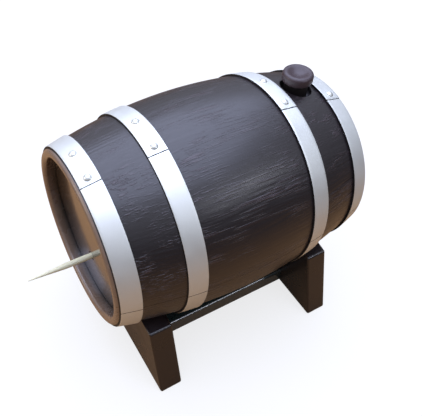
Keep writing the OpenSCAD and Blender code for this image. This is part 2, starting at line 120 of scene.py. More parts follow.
class HolderColours(PropertyGroup):
    """Base colours of the finishes"""
    staves: colour("Staves", "Dark brown moulded plastic", "#1c1518")
    rim: colour("Rims", "Polished brown plastic round the heads", "#806957")
    # Bores: the colour the rims darken to at the heads, painted shade of the recess
    bore: colour("Bores", "Wall between a rim and its head, where it meets the head", "#1d1613")
    head: colour("Heads", "Glossy dark brown plastic", "#2c211b")
    hoops: colour("Hoops", "Silver lacquer", "#ebede6")
    # Hoop edges: dark as painted shade along the bands' edges, ends and cuts
    edge: colour("Hoop edges", "Bare cut edge of the hoops", "#33302f")
    knob: colour("Knob", "Brown-violet plastic", "#43363a")
    # Neck: darker than the knob, painted shade under the cap
    neck: colour("Neck", "Shaded neck under the knob's cap", "#151011")
    stand: colour("Stand", "Dark brown plastic of the boards", "#1c1314")
    plate: colour("Plate", "Black plastic of the plate", "#25302f")
    wood: colour("Toothpick", "Pale birch", "#fff6ce")
    works: colour("Works", "Grey plastic of the hidden pieces", "#9b9893")
    screws: colour("Screws", "Zinc-plated steel", "#b4b8ba")
    spring: colour("Spring", "Bright spring wire", "#c4c8ca")
    floor: colour("Floor", "Warm table, as the holder mirrors it", "#9a6c34")


def sizes():
    """The holder's sizes, as the panel has them."""
    return bpy.context.scene.holder_sizes


def colours():
    """The holder's colours, as the panel has them."""
    return bpy.context.scene.holder_colours


def stave_arc():
    """Radius of the arc that the staves' outline follows."""
    fall = sizes().stave_fall
    return (HALF_LENGTH ** 2 + fall ** 2) / (2 * fall)


def stave_radius(along):
    """Outer radius of the staves at a distance from the belly."""
    arc = stave_arc()
    return BELLY_RADIUS - arc + math.sqrt(arc ** 2 - along ** 2)


def node(tree, kind, inputs=None, out=None, feeds=(), **settings):
    """Adds a node with its settings, links or sets its inputs, and links one output on."""
    made = tree.nodes.new(kind)
    for key, value in settings.items():
        setattr(made, key, value)
    for key, value in (inputs or {}).items():
        if isinstance(value, bpy.types.NodeSocket):
            tree.links.new(value, made.inputs[key])
        else:
            made.inputs[key].default_value = value
    outlet = made.outputs[out] if out else next(o for o in made.outputs if o.enabled)
    for socket in feeds:
        tree.links.new(outlet, socket)
    return outlet


def shade(base, factor):
    """A lighter or darker shade of one finish, as node colour."""
    return [min(1.0, channel * factor) for channel in base] + [1.0]


def material(name, base, constants):
    """A Principled material with its constants on the shader's own sockets."""
    made = bpy.data.materials.new(name)
    made.use_nodes = True
    shader = made.node_tree.nodes["Principled BSDF"]
    shader.inputs["Base Color"].default_value = shade(base, 1)
    for key, value in constants.items():
        shader.inputs[key].default_value = value
    return made, made.node_tree, shader.inputs


def pattern(tree, across, along, detail):
    """Noise whose marks lie along Y, with their real spacing across and along."""
    place = node(tree, "ShaderNodeTexCoord", out="Object")
    scaled = node(tree, "ShaderNodeMapping", {
        "Vector": place, "Scale": (1 / across, 1 / along, 1 / across)})
    return node(tree, "ShaderNodeTexNoise", {
        "Vector": scaled, "Scale": 1.0, "Detail": detail, "Roughness": 0.6})


def grained_plastic(name, base, roughness):
    """ABS moulded in a wood-grained tool: matt grooves, and crests that catch the light, lightened
    in colour as a painted highlight.

    The finest lines are drawn 0.55 mm apart, coarser than a real tool's, as a pixel is 0.3 mm.
    """
    made, tree, sockets = material(name, base, {
        "Coat Weight": 0.55, "Coat Roughness": 0.3, "IOR": 1.54})
    pores = pattern(tree, 0.55 * MM, 18 * MM, 2.0)
    patches = pattern(tree, 8 * MM, 30 * MM, 2.0)
    crests = node(tree, "ShaderNodeMapRange", {
        "Value": pores, "From Min": 0.5, "From Max": 0.66})
    grouped = node(tree, "ShaderNodeMapRange", {
        "Value": patches, "From Min": 0.45, "From Max": 0.6, "To Min": 0.08})
    lines = node(tree, "ShaderNodeMath", {0: crests, 1: grouped}, operation="MULTIPLY")
    # The crests' lighter colour is a painted highlight; their bump is real relief
    node(tree, "ShaderNodeMix", {"Factor": lines, "A": shade(base, 0.9), "B": shade(base, 3.8)},
         feeds=[sockets["Base Color"]], data_type="RGBA")
    node(tree, "ShaderNodeMapRange", {
        "Value": pores, "From Min": NOISE_LOW, "From Max": NOISE_HIGH,
        "To Min": roughness + 0.08, "To Max": roughness - 0.05}, feeds=[sockets["Roughness"]])
    node(tree, "ShaderNodeBump", {"Height": lines, "Strength": 0.9, "Distance": 0.2 * MM},
         feeds=[sockets["Normal"]])
    return made


def moulded_plastic(name, base, roughness, coat=0.0, ior=1.54, peel_height=0.1):
    """ABS moulded in a polished or fine-blasted tool: even colour, faint orange peel.

    A blasted tool's texture is far finer than a pixel, so only the roughness stands for it.
    """
    made, tree, sockets = material(name, base, {
        "Coat Weight": coat, "Coat Roughness": 0.08, "IOR": ior})
    peel = pattern(tree, 0.9 * MM, 0.9 * MM, 3.0)
    patches = pattern(tree, 7 * MM, 7 * MM, 2.0)
    node(tree, "ShaderNodeMix", {
        "Factor": patches, "A": shade(base, 0.85), "B": shade(base, 1.2)},
         feeds=[sockets["Base Color"]], data_type="RGBA")
    node(tree, "ShaderNodeMapRange", {
        "Value": patches, "From Min": NOISE_LOW, "From Max": NOISE_HIGH,
        "To Min": roughness * 0.85, "To Max": roughness * 1.2}, feeds=[sockets["Roughness"]])
    node(tree, "ShaderNodeBump", {"Height": peel, "Strength": peel_height, "Distance": 0.04 * MM},
         feeds=[sockets["Normal"]])
    return made


def satin_band(name, base, roughness):
    """Silver-lacquered strip: flakes under a clear skin, which blur what they mirror.

    Real flakes are far finer than a pixel. They are drawn 0.5 mm wide to show at all.
    """
    made, tree, sockets = material(name, base, {"Metallic": 0.7})
    worn = pattern(tree, 6 * MM, 6 * MM, 3.0)
    flakes = pattern(tree, 0.5 * MM, 0.5 * MM, 2.0)
    node(tree, "ShaderNodeMapRange", {
        "Value": worn, "From Min": NOISE_LOW, "From Max": NOISE_HIGH,
        "To Min": roughness - 0.03, "To Max": roughness + 0.05}, feeds=[sockets["Roughness"]])
    node(tree, "ShaderNodeMix", {"Factor": worn, "A": shade(base, 0.97), "B": shade(base, 1.02)},
         feeds=[sockets["Base Color"]], data_type="RGBA")
    node(tree, "ShaderNodeBump", {"Height": flakes, "Strength": 0.05, "Distance": 0.02 * MM},
         feeds=[sockets["Normal"]])
    return made


def painted_edge_shade(name, base):
    """Dark, dull edges, ends and cuts of the hoops: painted shade, so the bands read as thin sheet.

    Real burrs are finer. They are drawn 0.4 mm wide to show at all.
    """
    made, tree, sockets = material(name, base, {"Metallic": 0.5})
    burrs = pattern(tree, 0.4 * MM, 0.4 * MM, 2.0)
    node(tree, "ShaderNodeMapRange", {
        "Value": burrs, "From Min": NOISE_LOW, "From Max": NOISE_HIGH,
        "To Min": 0.45, "To Max": 0.6}, feeds=[sockets["Roughness"]])
    return made


def birch(name, base):
    """Turned birch: pale and dull, with short fibres along the pick.

    Real fibres are finer. They are drawn 0.25 mm wide to show at all.
    """
    made, tree, sockets = material(name, base, {"Roughness": 0.62})
    fibre = pattern(tree, 0.25 * MM, 5 * MM, 5.0)
    node(tree, "ShaderNodeMix", {"Factor": fibre, "A": shade(base, 0.88), "B": shade(base, 1.15)},
         feeds=[sockets["Base Color"]], data_type="RGBA")
    node(tree, "ShaderNodeBump", {"Height": fibre, "Strength": 0.4, "Distance": 0.06 * MM},
         feeds=[sockets["Normal"]])
    return made


def steel(name, base, roughness):
    """Plated or drawn steel of the hidden fasteners: bright, slightly clouded."""
    made, tree, sockets = material(name, base, {"Metallic": 1.0})
    cloud = pattern(tree, 1.5 * MM, 1.5 * MM, 3.0)
    node(tree, "ShaderNodeMapRange", {
        "Value": cloud, "From Min": NOISE_LOW, "From Max": NOISE_HIGH,
        "To Min": roughness * 0.8, "To Max": roughness * 1.3}, feeds=[sockets["Roughness"]])
    return made


def finish_piece(bm, name, body, finish, replaced=(), sharp=40, recalc=True):
    """Makes a bmesh a piece that rides on a body, with smooth faces between sharp edges."""
    if recalc:
        bmesh.ops.recalc_face_normals(bm, faces=bm.faces)
    mesh = new_mesh(name, bm)
    mesh.polygons.foreach_set("use_smooth", [True] * len(mesh.polygons))
    mesh.set_sharp_from_angle(angle=math.radians(sharp))
    mesh.materials.append(finish)
    piece = new_object(name, mesh)
    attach(piece, body)
    if replaced:
        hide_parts(*replaced)
    return piece


def coat_node(name, finish):
    """Gives a CAD node its finish."""
    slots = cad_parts[name].data.materials
    slots.clear()
    slots.append(finish)


def copied(name):
    """A merged copy of a node's mesh."""
    bm = bmesh.new()
    bm.from_mesh(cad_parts[name].data)
    bmesh.ops.remove_doubles(bm, verts=bm.verts, dist=0.001 * MM)
    return bm


def arc_points(radius, centre, start, stop, count):
    """Points on an arc, as radius and distance along the axis."""
    turns = [math.radians(start + (stop - start) * i / count) for i in range(count + 1)]
    return [(centre[0] + radius * math.cos(t), centre[1] + radius * math.sin(t)) for t in turns]


def spun(profile, steps, place=None, axis=(0, 1, 0), closed=True, start=0.0, sweep=math.tau):
    """Spins a profile of radius and distance along the axis into a ring."""
    bm = bmesh.new()
    along = Vector(axis)
    out = Vector((0, 0, 1)) if abs(along.z) < 0.5 else Vector((1, 0, 0))
    centre = place or AXIS
    out.rotate(Matrix.Rotation(start, 3, along))
    verts = [bm.verts.new(centre + out * r + along * a) for r, a in profile]
    pairs = zip(verts, verts[1:] + verts[:1] if closed else verts[1:])
    edges = [bm.edges.new(pair) for pair in pairs]
    bmesh.ops.spin(bm, geom=verts + edges, cent=centre, axis=along, angle=sweep, steps=steps,
                   use_merge=sweep == math.tau)
    bmesh.ops.remove_doubles(bm, verts=bm.verts, dist=0.002 * MM)
    return bm


def cap_ends(bm):
    """Closes every open loop with one face."""
    bmesh.ops.holes_fill(bm, edges=[e for e in bm.edges if e.is_boundary])


def take_in(bm, other):
    """Adds another bmesh to a bmesh, and frees it."""
    spare = bpy.data.meshes.new("spare")
    other.to_mesh(spare)
    other.free()
    bm.from_mesh(spare)
    bpy.data.meshes.remove(spare)


def axis_out(place):
    """Vector from the barrel's axis straight out to a place."""
    return Vector((place.x, 0, place.z - AXIS.z))


def new_object(name, data):
    """A new object in the scene."""
    made = bpy.data.objects.new(name, data)
    bpy.context.scene.collection.objects.link(made)
    return made


def new_mesh(name, bm):
    """A new mesh from a bmesh, which is freed."""
    mesh = bpy.data.meshes.new(name)
    bm.to_mesh(mesh)
    bm.free()
    return mesh


def keep_half(bm, upper, gap):
    """Cuts a ring at the parting plane and keeps one half, with capped ends."""
    side = 1 if upper else -1
    bmesh.ops.bisect_plane(bm, geom=[*bm.verts, *bm.edges, *bm.faces],
                           plane_co=(0, 0, PARTING_Z + side * gap / 2), plane_no=(0, 0, -side),
                           clear_outer=True)
    cap_ends(bm)
    return bm


# The moulded grain: its lines' wander, in line widths, the main crests' share of its height
# (fine lines are the rest), and its strength from patch to patch
GRAIN_WANDER = 3.2
CREST_SHARE = 0.65
STRENGTH_LEAST, STRENGTH_MEAN, STRENGTH_SPREAD = 0.12, 0.42, 1.1


def grain(angle, along):
    """Moulded grain between -1 and 1 at a place on the staves: lines that wander and fork."""
    s = sizes()
    line, run = angle * BELLY_RADIUS / s.grain_width, along / s.grain_length
    drift = noise.noise(Vector((line * 0.12, run * 0.8, 3.1)))
    across = line + drift * GRAIN_WANDER
    crest = 1 - 2 * abs(noise.noise(Vector((across, run, 0.0))))
    fine = noise.noise(Vector((across * 2.1, run * 1.6, 7.7)))
    patch = noise.noise(Vector((line * 0.07, run * 0.5, 5.5)))
    strength = max(STRENGTH_LEAST, STRENGTH_MEAN + STRENGTH_SPREAD * patch)
    return (crest * CREST_SHARE + fine * (1 - CREST_SHARE)) * strength


# The skins over the shells: their thickness, the gap between the two, and their clearance from
# the heads' faces
SKIN_DEPTH = 0.3 * MM
SKIN_GAP = 0.12 * MM
HEAD_CLEAR = 0.05 * MM
# Depth of the rims' finish from the ends, and where it begins under the staves
RIM_DEPTH = 0.9 * MM
STAVE_DEPTH = 1.0 * MM
# Length over which the grain fades out before a rim, and the share at which it stops
GRAIN_FADE = 3 * MM
GRAIN_STOP = 0.4
# The rims' coat, and the depth at which their colour begins to darken towards the heads, as painted
# shade
RIM_COAT = 0.7
LIT_DEPTH = 0.8 * MM
# Segments along half of the staves outside and inside, and on each rounding of a rim
OUTER_STEPS, INNER_STEPS, ROUND_STEPS = 36, 12, 7


def stave_profile():
    """Closed outline of a skin over the staves, round both rims and into both recesses."""
    s, depth = sizes(), SKIN_DEPTH
    rim = HALF_LENGTH - s.rim_round
    rim_out = stave_radius(rim)
    bore = rim_out - s.rim_wall
    outer = [(stave_radius(rim * i / OUTER_STEPS) + SKIN_LIFT, rim * i / OUTER_STEPS)
             for i in range(1 - OUTER_STEPS, OUTER_STEPS)]
    nose = [(rim_out - s.rim_round, rim, 6, 90), (bore + s.rim_round, rim, 90, 180)]
    front = [p for r, a, begin, end in nose
             for p in arc_points(s.rim_round + SKIN_LIFT, (r, a), begin, end, ROUND_STEPS)]
    face = HEAD_FACE + HEAD_CLEAR
    front.append((bore - SKIN_LIFT, face))
    inner = [(bore + depth, face), (bore + depth, rim - depth), (rim_out - depth * 2, rim - depth)]
    behind = [(stave_radius(rim * i / INNER_STEPS) - depth, rim * i / INNER_STEPS)
              for i in range(INNER_STEPS - 1, -INNER_STEPS, -1)]
    mirrored = [(r, -a) for r, a in reversed(front)]
    back = [(r, -a) for r, a in reversed(inner)]
    return outer + front + inner + behind + back + mirrored


class HOLDER_OT_staves(Operator):
    """Skins of grained plastic over the two shells, with rounded rims"""
    bl_idname = "holder.staves"
    bl_label = "Staves"

    def execute(self, context):
        finish = grained_plastic("moulded_abs_grain", colours().staves, 0.36)
        rim = moulded_plastic("polished_abs_rim", colours().rim, 0.26, coat=RIM_COAT,
                              peel_height=0.02)
        self.paint_recess_shade(rim)
        inside = moulded_plastic("moulded_abs_inside", colours().staves, 0.45)
        steps = 720
        for name, upper, body in (("upper", True, "lid"), ("lower", False, "base")):
            bm = keep_half(spun(stave_profile(), steps), upper, SKIN_GAP)
            self.raise_grain(bm)
            self.mark_rims(bm)
            skin = finish_piece(bm, f"stave_skin_{name}", body, finish)
            skin.data.materials.append(rim)
            if upper:
                self.cut_pocket(skin)
            coat_node(f"{name}_shell", inside)
        return {"FINISHED"}

    def raise_grain(self, bm):
        """Moves the staves' outer face by the grain, which fades out before the rims."""
        for vert in bm.verts:
            out = axis_out(vert.co)
            along = vert.co.y - AXIS.y
            outer = abs(out.length - stave_radius(along) - SKIN_LIFT) < NEAR
            edge = min(1.0, (HALF_LENGTH - abs(along)) / GRAIN_FADE)
            if outer and edge > GRAIN_STOP:
                turn = math.atan2(out.x, out.z)
                vert.co += out.normalized() * sizes().relief * edge * grain(turn, along)

    def mark_rims(self, bm):
        """Gives the rims and the walls round the heads the rim's finish."""
        for face in bm.faces:
            middle = face.calc_center_median()
            along = abs(middle.y - AXIS.y)
            out = axis_out(middle).length
            if along > HALF_LENGTH - RIM_DEPTH or out < stave_radius(along) - STAVE_DEPTH:
                face.material_index = 1

    def paint_recess_shade(self, rim):
        """Darkens the rim's colour towards the head: painted shade, as in a recess that gets little
        light.
        """
        tree = rim.node_tree
        sockets = tree.nodes["Principled BSDF"].inputs
        base = sockets["Base Color"]
        place = node(tree, "ShaderNodeTexCoord", out="Object")
        along = node(tree, "ShaderNodeSeparateXYZ", {"Vector": place}, out="Y")
        middle = node(tree, "ShaderNodeMath", {0: along, 1: AXIS.y}, operation="SUBTRACT")
        ends = node(tree, "ShaderNodeMath", {0: middle}, operation="ABSOLUTE")
        share = node(tree, "ShaderNodeMapRange", {
            "Value": ends, "From Min": HEAD_FACE, "From Max": HALF_LENGTH - LIT_DEPTH})
        node(tree, "ShaderNodeMix", {
            "Factor": share, "A": shade(colours().bore, 1), "B": base.links[0].from_socket},
             feeds=[base], data_type="RGBA")
        node(tree, "ShaderNodeMath", {0: share, 1: RIM_COAT}, feeds=[sockets["Coat Weight"]],
             operation="MULTIPLY")

    def cut_pocket(self, skin):
        """Opens the skin over the knob's pocket."""
        low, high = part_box("push_knob")
        radius = (high.x - low.x) / 2 + sizes().pocket_clear
        bm = bmesh.new()
        bmesh.ops.create_cone(bm, cap_ends=True, segments=96, radius1=radius, radius2=radius,
                              depth=4 * radius)
        bmesh.ops.translate(bm, verts=bm.verts, vec=((low.x + high.x) / 2, (low.y + high.y) / 2,
                                                     high.z))
        mesh = new_mesh("pocket_cutter", bm)
        cutter = new_object("pocket_cutter", mesh)
        cut = skin.modifiers.new("pocket", "BOOLEAN")
        cut.operation = "DIFFERENCE"
        cut.object = cutter
        cut.solver = "EXACT"
        bpy.context.view_layer.update()
        shape = skin.evaluated_get(bpy.context.evaluated_depsgraph_get())
        whole = skin.data
        skin.data = bpy.data.meshes.new_from_object(shape)
        skin.modifiers.clear()
        bpy.data.meshes.remove(whole)
        bpy.data.objects.remove(cutter)
        bpy.data.meshes.remove(mesh)


HOOPS = ("front_end_hoop", "front_quarter_hoop", "rear_quarter_hoop", "rear_end_hoop")
# Angles from the top: the lap's line, the turn over which the raised end settles, the rivets,
# and how far the upper half's two lengths reach before keep_half cuts them
LAP_ANGLE = math.radians(15.5)
LAP_FADE = math.radians(55)
RIVET_ANGLES = (math.radians(-7.8), math.radians(11.5))
HOOP_REACH = math.pi * 0.6
# Inset of a rounding's middle, as a share of its radius
ROUND_SHARE = 0.3
# Cosine of the tilt past which a face of a hoop belongs to its edge and gets the painted edge shade
OUTWARD = 0.6
# Depth of the rivets' shanks under their domes
SHANK = 0.3 * MM


def hoop_middle(hoop):
    """Distance of a hoop's middle from the belly, along the axis."""
    low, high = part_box(f"{hoop}_upper")
    return (low.y + high.y) / 2 - AXIS.y


def lap_lift(angle):
    """How far a hoop's upper end stands off at an angle from the top."""
    if angle > LAP_ANGLE:
        return 0.0
    share = max(0.0, 1 - (LAP_ANGLE - angle) / LAP_FADE)
    return sizes().lap_rise * share


def hoop_profile(middle):
    """Closed section of a hoop with rounded edges."""
    s = sizes()
    low, high = HOOP_LIFT, HOOP_LIFT + s.hoop_thickness
    half, edge = s.hoop_width / 2, s.hoop_edge
    round_in = edge * ROUND_SHARE
    count = 8
    top = [middle - half + edge + (2 * half - 2 * edge) * i / count for i in range(count + 1)]
    outer = [(stave_radius(a) + high, a) for a in top]
    ends = []
    for side in (1, -1):
        a = middle + side * half
        corner = [(stave_radius(a) + high - round_in, a - side * round_in),
                  (stave_radius(a) + high - edge, a), (stave_radius(a) + low, a)]
        ends.append(corner)
    return outer + ends[0] + ends[1][::-1]


class HOLDER_OT_hoops(Operator):
    """Four satin silver hoops with rounded edges and lapped ends"""
    bl_idname = "holder.hoops"
    bl_label = "Hoops"

    def execute(self, context):
        finish = satin_band("silver_lacquered_band", colours().hoops, 0.5)
        edge = painted_edge_shade("hoop_edge_painted_shade", colours().edge)
        steps = 300
        for hoop in HOOPS:
            section = hoop_profile(hoop_middle(hoop))
            bm = keep_half(spun(section, steps), False, sizes().hoop_gap)
            self.mark_edges(bm)
            low = finish_piece(bm, f"{hoop}_low", "base", finish,
                               [f"{hoop}_lower"])
            upper = self.lapped(section, steps // 2)
            self.mark_edges(upper)
            high = finish_piece(upper, f"{hoop}_high", "lid", finish,
                                [f"{hoop}_upper"])
            for piece in (low, high):
                piece.data.materials.append(edge)
        return {"FINISHED"}

    def mark_edges(self, bm):
        """Gives every face that doesn't face outwards the dark edge finish, painted shade."""
        bmesh.ops.recalc_face_normals(bm, faces=bm.faces)
        for face in bm.faces:
            out = axis_out(face.calc_center_median()).normalized()
            face.material_index = 0 if face.normal.dot(out) > OUTWARD else 1

    def lapped(self, section, steps):
        """The upper half in two lengths: one ends raised beside the other at the lap."""
        bm = spun(section, steps, start=-HOOP_REACH, sweep=LAP_ANGLE + HOOP_REACH)
        cap_ends(bm)
        for vert in bm.verts:
            out = axis_out(vert.co)
            turn = math.atan2(out.x, out.z)
            vert.co += out.normalized() * lap_lift(turn)
        gap = sizes().lap_gap / BELLY_RADIUS
        under = spun(section, steps, start=LAP_ANGLE + gap, sweep=HOOP_REACH)
        cap_ends(under)
        take_in(bm, under)
        return keep_half(bm, True, sizes().hoop_gap)


def on_hoop(middle, angle, lift):
    """Matrix of a place on a hoop's face, with Z outwards."""
    radius = stave_radius(middle) + lift
    return (Matrix.Translation(AXIS) @ Matrix.Rotation(angle, 4, "Y")
            @ Matrix.Translation((0, middle, radius))
            @ Matrix.Rotation(-math.asin(middle / stave_arc()), 4, "X"))


class HOLDER_OT_rivets(Operator):
    """Domed rivets, two on each hoop's lap"""
    bl_idname = "holder.rivets"
    bl_label = "Rivets"

    def execute(self, context):
        s = sizes()
        dome = (s.rivet_radius ** 2 + s.rivet_height ** 2) / (2 * s.rivet_height)
        reach = math.degrees(math.asin(s.rivet_radius / dome))
        face = arc_points(dome, (0, s.rivet_height - dome), 90 - reach, 90, 7)
        profile = [(0, -SHANK), (s.rivet_radius * 0.96, -SHANK), *face]
        profile[-1] = (0, s.rivet_height)
        bm = bmesh.new()
        for hoop in HOOPS:
            middle = hoop_middle(hoop)
            for angle in RIVET_ANGLES:
                one = spun(profile, steps=28, place=Vector(), axis=(0, 0, 1), closed=False)
                lift = s.hoop_thickness + HOOP_LIFT + lap_lift(angle)
                bmesh.ops.transform(one, matrix=on_hoop(middle, angle, lift), verts=one.verts)
                take_in(bm, one)
        finish = satin_band("silver_lacquered_rivet", colours().hoops, 0.3)
        finish_piece(bm, "rivet_domes", "lid", finish, ["hoop_rivets"], sharp=50)
        return {"FINISHED"}


# The knob: its cap's height, its upper and lower rounding, its neck and the neck's chamfer
CAP_HEIGHT = 3.1 * MM
CAP_EDGE = 1.05 * MM
CAP_UNDER_EDGE = 0.5 * MM
NECK_RADIUS = 3.9 * MM
NECK_CHAMFER = 0.15 * MM
# The dish in the cap's top: share of the cap's radius, and depth in millimetres
DISH = ((0, 1.15), (0.2, 1.08), (0.36, 0.88), (0.49, 0.58), (0.6, 0.26), (0.69, 0.06))


class HOLDER_OT_knob(Operator):
    """Dished press knob on its neck"""
    bl_idname = "holder.knob"
    bl_label = "Press knob"

    def execute(self, context):
        low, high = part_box("push_knob")
        place = Vector(((low.x + high.x) / 2, (low.y + high.y) / 2, 0))
        cap = (high.x - low.x) / 2
        top, under = high.z, high.z - CAP_HEIGHT
        profile = [(cap * r, top - depth * MM) for r, depth in DISH]
        profile += arc_points(CAP_EDGE, (cap - CAP_EDGE, top - CAP_EDGE), 100, 0, 8)
        profile += arc_points(CAP_UNDER_EDGE, (cap - CAP_UNDER_EDGE, under + CAP_UNDER_EDGE),
                              0, -90, 5)
        profile += [(NECK_RADIUS + NECK_CHAMFER, under), (NECK_RADIUS, under - NECK_CHAMFER),
                    (NECK_RADIUS, low.z), (0, low.z)]
        bm = spun(profile, steps=96, place=place, axis=(0, 0, 1), closed=False)
        for face in bm.faces:
            # The neck below the cap gets the dark second finish, painted shade
            face.material_index = int(face.calc_center_median().z < under)
        finish = moulded_plastic("moulded_abs_knob", colours().knob, 0.36)
        knob = finish_piece(bm, "press_knob", "knob", finish, ["push_knob"])
        knob.data.materials.append(moulded_plastic("moulded_abs_neck_painted_shade", colours().neck, 0.5))
        return {"FINISHED"}


class HOLDER_OT_heads(Operator):
    """Finish of the two recessed heads"""
    bl_idname = "holder.heads"
    bl_label = "Heads"

    def execute(self, context):
        finish = moulded_plastic("polished_abs_head", colours().head, 0.16, coat=1.0, ior=1.8,
                                 peel_height=0.02)
        for name in ("front_head", "rear_head"):
            coat_node(name, finish)
        return {"FINISHED"}


# The pick's taper at both ends, its point's share of the radius and its number of rings
PICK_TAPER = 12 * MM
PICK_POINT = 0.14
PICK_RINGS = 60
# Unevenness of the turned wood, as a share of the radius, and its length along the pick
PICK_UNEVEN = 0.03
UNEVEN_LENGTH = 4 * MM


class HOLDER_OT_toothpick(Operator):
    """Turned birch toothpick with two drawn-out points"""
    bl_idname = "holder.toothpick"
    bl_label = "Toothpick"

    def execute(self, context):
        low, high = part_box("toothpick")
        place = Vector(((low.x + high.x) / 2, 0, (low.z + high.z) / 2))
        radius = (high.x - low.x) / 2
        length = high.y - low.y
        profile = [(0, low.y)]
        for i in range(PICK_RINGS + 1):
            a = length * i / PICK_RINGS
            share = min(1.0, min(a, length - a) / PICK_TAPER)
            profile.append((radius * (PICK_POINT + (1 - PICK_POINT) * share), low.y + a))
        profile.append((0, high.y))
        bm = spun(profile, steps=32, place=place, closed=False)
        for vert in bm.verts:
            out = Vector((vert.co.x - place.x, 0, vert.co.z - place.z))
            if out.length > radius * 0.3:
                turn = math.atan2(out.x, out.z)
                rough = noise.noise(Vector((turn * 3, vert.co.y / UNEVEN_LENGTH, 1.0)))
                vert.co -= out * PICK_UNEVEN * (1 + rough)
        finish_piece(bm, "birch_pick", "pick", birch("turned_birch", colours().wood),
                     ["toothpick"], sharp=60)
        return {"FINISHED"}


# Least angle of a real edge, and least length of the plate's edges that run from board to board
REAL_EDGE = math.radians(20)
LONG_EDGE = 30 * MM
# The boards' edges along the saddle, and near the middle where the screws go in, aren't rounded.
# Their corners are the long edges through the board's thickness, above its foot.
SADDLE_MARGIN = 0.9 * MM
HOLES_REACH = 20 * MM
CORNER_LENGTH = 2 * MM
FOOT_HEIGHT = 1 * MM


class HOLDER_OT_stand(Operator):
    """Two saddle boards with rounded edges and the glossy plate between them"""
    bl_idname = "holder.stand"
    bl_label = "Stand"

    def execute(self, context):
        finish = moulded_plastic("moulded_abs_board", colours().stand, 0.3, coat=0.4)
        for name in ("front_board", "rear_board"):
            self.board(name, finish)
        plate = moulded_plastic("polished_abs_plate", colours().plate, 0.12, coat=1.0, ior=1.9,
                                peel_height=0.0)
        bm = copied("stand_plate")
        self.join_flats(bm)
        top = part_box("stand_plate")[1].z
        long = [e for e in bm.edges if all(abs(v.co.z - top) < NEAR for v in e.verts)
                and abs(e.verts[0].co.y - e.verts[1].co.y) > LONG_EDGE
                and e.calc_face_angle(0) > REAL_EDGE]
        self.bevel(bm, long, sizes().plate_edge, 1)
        self.even(finish_piece(bm, "plate_moulding", "base", plate,
                               ["stand_plate"], sharp=35, recalc=False))
        return {"FINISHED"}

    def join_flats(self, bm):
        """Joins the loose triangles of each flat face."""
        bmesh.ops.dissolve_limit(bm, angle_limit=math.radians(1), verts=bm.verts, edges=bm.edges)

    def bevel(self, bm, edges, offset, segments):
        """Chamfers edges with one segment, and rounds them with more."""
        bmesh.ops.bevel(bm, geom=edges, offset=offset, segments=segments, profile=0.5,
                        affect="EDGES", material=-1, offset_type="OFFSET", clamp_overlap=False)

    def even(self, piece):
        """Keeps the flat faces flat to the light, and the shading inside the rounded edges."""
        weighted = piece.modifiers.new("even_shading", "WEIGHTED_NORMAL")
        weighted.keep_sharp = True

    def board(self, name, finish):
        """A copy of the board, with its outline's edges rounded."""
        low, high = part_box(name)
        bm = copied(name)
        self.join_flats(bm)
        saddle = stave_radius((low.y + high.y) / 2 - AXIS.y) + SADDLE_MARGIN
        chosen = []
        for edge in bm.edges:
            if not edge.is_manifold or edge.calc_face_angle(0) < REAL_EDGE:
                continue
            ends = [v.co for v in edge.verts]
            outline = all(min(abs(co.y - low.y), abs(co.y - high.y)) < NEAR for co in ends)
            corner = (abs(ends[0].y - ends[1].y) > CORNER_LENGTH
                      and ends[0].z > low.z + FOOT_HEIGHT)
            off_saddle = any(axis_out(co).length > saddle or co.z < low.z + NEAR for co in ends)
            off_holes = all(abs(co.x) > HOLES_REACH for co in ends)
            if (outline or corner) and off_saddle and off_holes:
                chosen.append(edge)
        self.bevel(bm, chosen, sizes().board_edge, 4)
        self.even(finish_piece(bm, f"{name}_moulding", "base", finish, [name],
                               sharp=35, recalc=False))


class HOLDER_OT_works(Operator):
    """Finishes of the works inside the barrel and of the fasteners"""
    bl_idname = "holder.works"
    bl_label = "Works"

    def execute(self, context):
        grey = moulded_plastic("moulded_abs_works", colours().works, 0.42)
        for name in ("plunger", "pick_trough", "pick_slide", "slide_keeper"):
            coat_node(name, grey)
        zinc = steel("zinc_plated_steel", colours().screws, 0.32)
        for name in ("trough_screws", "keeper_screws", "stand_screws"):
            coat_node(name, zinc)
        self.spring(steel("bright_spring_wire", colours().spring, 0.22))
        return {"FINISHED"}

    def spring(self, finish):
        """The slide's spring, given its own mesh. The real spring shortens towards its fixed front
        end as the slide comes.
        """
        piece = finish_piece(copied("slide_spring"), "slide_coil", "base", finish,
                             ["slide_spring"], sharp=50, recalc=False)
        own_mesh(piece)


# The camera's place is counted from the barrel's middle
CAMERA_PLACE = Vector((111.5, -76.0, 135.9)) * MM
CAMERA_AZIMUTH = math.radians(54.5)
CAMERA_ELEVATION = math.radians(47)
CAMERA_ROLL = math.radians(5.5)
CAMERA_LENS = 48.05
# Each lamp's direction from the barrel, distance and widths in metres, watts and colour
LAMPS = {
    "overhead_softbox": ((-0.22, 0.07, 0.94), 0.95, (1.15, 1.55), 15.0, "#ced9ff"),
    "side_lamp": ((0.71, 0.4, 0.58), 0.9, (0.42, 0.06), 0.85, "#eef2ff"),
    "front_lamp": ((-0.3, -0.92, 0.3), 0.9, (0.5, 0.4), 1.3, "#ffecd8"),
}
# The sky: where it is brightest, and its darkest and brightest colours
SKY_TOP = (-0.3, -0.14, 0.93)
SKY_LOW, SKY_HIGH = "#35373b", "#e8edff"
# Cosines of the turn from there at which the sky is darkest and brightest, and its curve between
SKY_FROM, SKY_TO = -0.3, 0.85
SKY_CURVE = 1.3
# Shares of plain white: of the floor and the sky for the camera, and of both in reflections
FLOOR_WHITE = 0.76
SKY_WHITE = 1.0
MIRRORED_WHITE = 0.04
# Distances in metres between which the mirrored table gets dark, and how dark it gets: painted
# shade round a pool of light at the holder
TABLE_NEAR, TABLE_FAR = 0.07, 0.3
TABLE_FALL = 0.22
# Half of the floor's width, and its gap under the holder, both in metres
FLOOR_HALF = 2.0
FLOOR_GAP = 0.05 * MM
# The floor's colour for the camera, and what it and the sky fade to
PALE = (0.97, 0.97, 0.97)
PLAIN_WHITE = (1, 1, 1)


